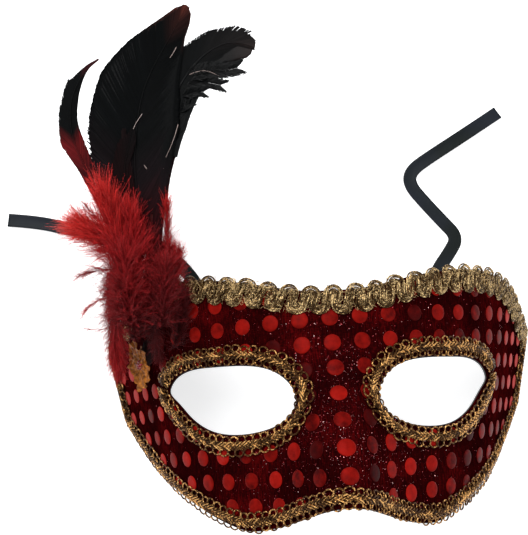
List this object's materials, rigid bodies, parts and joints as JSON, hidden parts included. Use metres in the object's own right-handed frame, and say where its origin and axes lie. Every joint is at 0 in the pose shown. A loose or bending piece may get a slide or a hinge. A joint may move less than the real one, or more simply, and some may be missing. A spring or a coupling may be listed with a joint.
{
  "type": "masquerade mask",
  "caption": "Curved half mask in sequin cloth with gold braid, a side plume of feathers and down, a gold flower and tie ribbons.",
  "frame": {"origin": "on the surface it lies on, midway between the temples, level with the eyes", "axes": "+X across the mask away from the plume, +Y to the forehead, +Z out of the face side, up from the surface"},
  "size_m": [0.2302, 0.194, 0.1018],
  "materials": {
    "shell": "moulded shell, satin black inside",
    "sequin_cloth": "dark maroon woven cloth with fine glitter",
    "sequin": "metallised red foil dots",
    "gold_braid": "metallic gold gimp braid",
    "glue": "felt pad under the plume",
    "thread": "wrapped thread",
    "gold_flower": "translucent amber and gold petals",
    "flower_bead": "dark red bead",
    "patch": "black felt",
    "ribbon": "black satin ribbon",
    "quill": "bare quills",
    "black_feather": "black hackle with a red-brown tip",
    "red_feather": "dark red and black hackle",
    "red_down": "dyed red marabou down"
  },
  "bodies": {
    "mask": {"mask_shell": "shell", "fabric_cover": "sequin_cloth", "top_braid": "gold_braid", "edge_braid": "gold_braid", "eye_braid_left": "gold_braid", "eye_braid_right": "gold_braid", "sequins_forehead": "sequin", "sequins_nose": "sequin", "sequins_left_cheek": "sequin", "sequins_right_cheek": "sequin", "sequins_left_temple": "sequin", "sequins_right_temple": "sequin", "glue_pad": "glue", "quill_binding": "thread", "flower_petals": "gold_flower", "flower_centre": "flower_bead", "ribbon_patch_left": "patch", "ribbon_patch_right": "patch", "ribbon_left": "ribbon", "ribbon_right": "ribbon"},
    "plume": {"quill_bundle": "quill", "feather_tall": "black_feather", "feather_curled": "black_feather", "feather_back": "red_feather", "feather_narrow": "black_feather", "feather_short": "red_feather", "marabou_front": "red_down", "marabou_left": "red_down", "marabou_back": "red_down", "marabou_lower": "red_down"}
  },
  "joints": [
    {"name": "plume_lift", "type": "hinge", "parent": "mask", "child": "plume", "pos_m": [-0.07422, 0.0289, 0.0404], "axis": [1, 0, 0], "range_deg": [0, 18], "stiffness_Nm_per_rad": 0.5}
  ]
}
